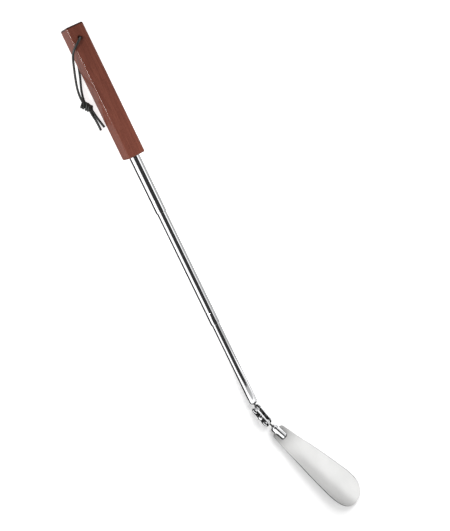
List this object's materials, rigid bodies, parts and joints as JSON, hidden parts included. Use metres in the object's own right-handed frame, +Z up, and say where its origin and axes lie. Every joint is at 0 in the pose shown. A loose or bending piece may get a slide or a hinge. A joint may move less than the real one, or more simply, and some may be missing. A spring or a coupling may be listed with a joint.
{
  "type": "telescopic shoehorn",
  "caption": "Long shoehorn: square wooden handle with a leather cord loop, telescoping chrome tubes, a two-ball swivel link and a cupped steel blade.",
  "frame": {"origin": "on the surface it lies on, under the middle of its footprint without the cord", "axes": "+X along the shaft from the handle toward the blade, +Y toward the side that the blade bends to, +Z up, out of the blade's cup"},
  "size_m": [0.6831, 0.1085, 0.0321],
  "materials": {
    "mahogany": "red-brown stained and varnished, semi-gloss",
    "chrome": "polished chrome plate",
    "blade_steel": "satin stainless",
    "spring_brass": "satin",
    "bush_nylon": "matt",
    "cord_leather": "black waxed leather cord"
  },
  "bodies": {
    "handle_body": {"handle": "mahogany", "tube_1": "chrome", "guide_bush_1": "bush_nylon", "cord_front_strand": "cord_leather", "cord_back_strand": "cord_leather", "cord_knot": "cord_leather", "cord_tails": "cord_leather"},
    "sleeve_2_body": {"friction_sleeve_2": "spring_brass"},
    "tube_2_body": {"tube_2": "chrome", "guide_bush_2": "bush_nylon"},
    "sleeve_3_body": {"friction_sleeve_3": "spring_brass"},
    "tube_3_body": {"tube_3": "chrome", "upper_stud": "chrome"},
    "link_body": {"near_plate": "chrome", "far_plate": "chrome", "clamp_screw": "chrome", "lock_washer": "chrome", "clamp_nut": "chrome"},
    "stud_body": {"lower_stud": "chrome"},
    "blade_body": {"ferrule": "chrome", "blade": "blade_steel"}
  },
  "joints": [
    {"name": "tube_2_slide", "type": "slide", "parent": "handle_body", "child": "sleeve_2_body", "axis": [0.9998, 0, -0.0192], "range_m": [-0.144, 0.024]},
    {"name": "tube_2_spin", "type": "hinge", "parent": "sleeve_2_body", "child": "tube_2_body", "pos_m": [-0.15076, -0.03435, 0.01221], "axis": [0.9998, 0, -0.0192], "continuous": true},
    {"name": "tube_3_slide", "type": "slide", "parent": "tube_2_body", "child": "sleeve_3_body", "axis": [0.9998, 0, -0.0192], "range_m": [-0.101, 0.0545]},
    {"name": "tube_3_spin", "type": "hinge", "parent": "sleeve_3_body", "child": "tube_3_body", "pos_m": [-0.03078, -0.03435, 0.0099], "axis": [0.9998, 0, -0.0192], "continuous": true},
    {"name": "link_swing", "type": "hinge", "parent": "tube_3_body", "child": "link_body", "pos_m": [0.16719, -0.03435, 0.0061], "axis": [0.2116, -0.8813, 0.4226], "range_deg": [-86.81, 73.19]},
    {"name": "blade_swing", "type": "hinge", "parent": "link_body", "child": "stud_body", "pos_m": [0.18712, -0.02957, 0.0061], "axis": [0.2116, -0.8813, 0.4226], "range_deg": [-82.51, 77.49]},
    {"name": "blade_twist", "type": "hinge", "parent": "stud_body", "child": "blade_body", "pos_m": [0.18712, -0.02957, 0.0061], "axis": [0.9256, 0.3777, -0.0227], "continuous": true}
  ]
}
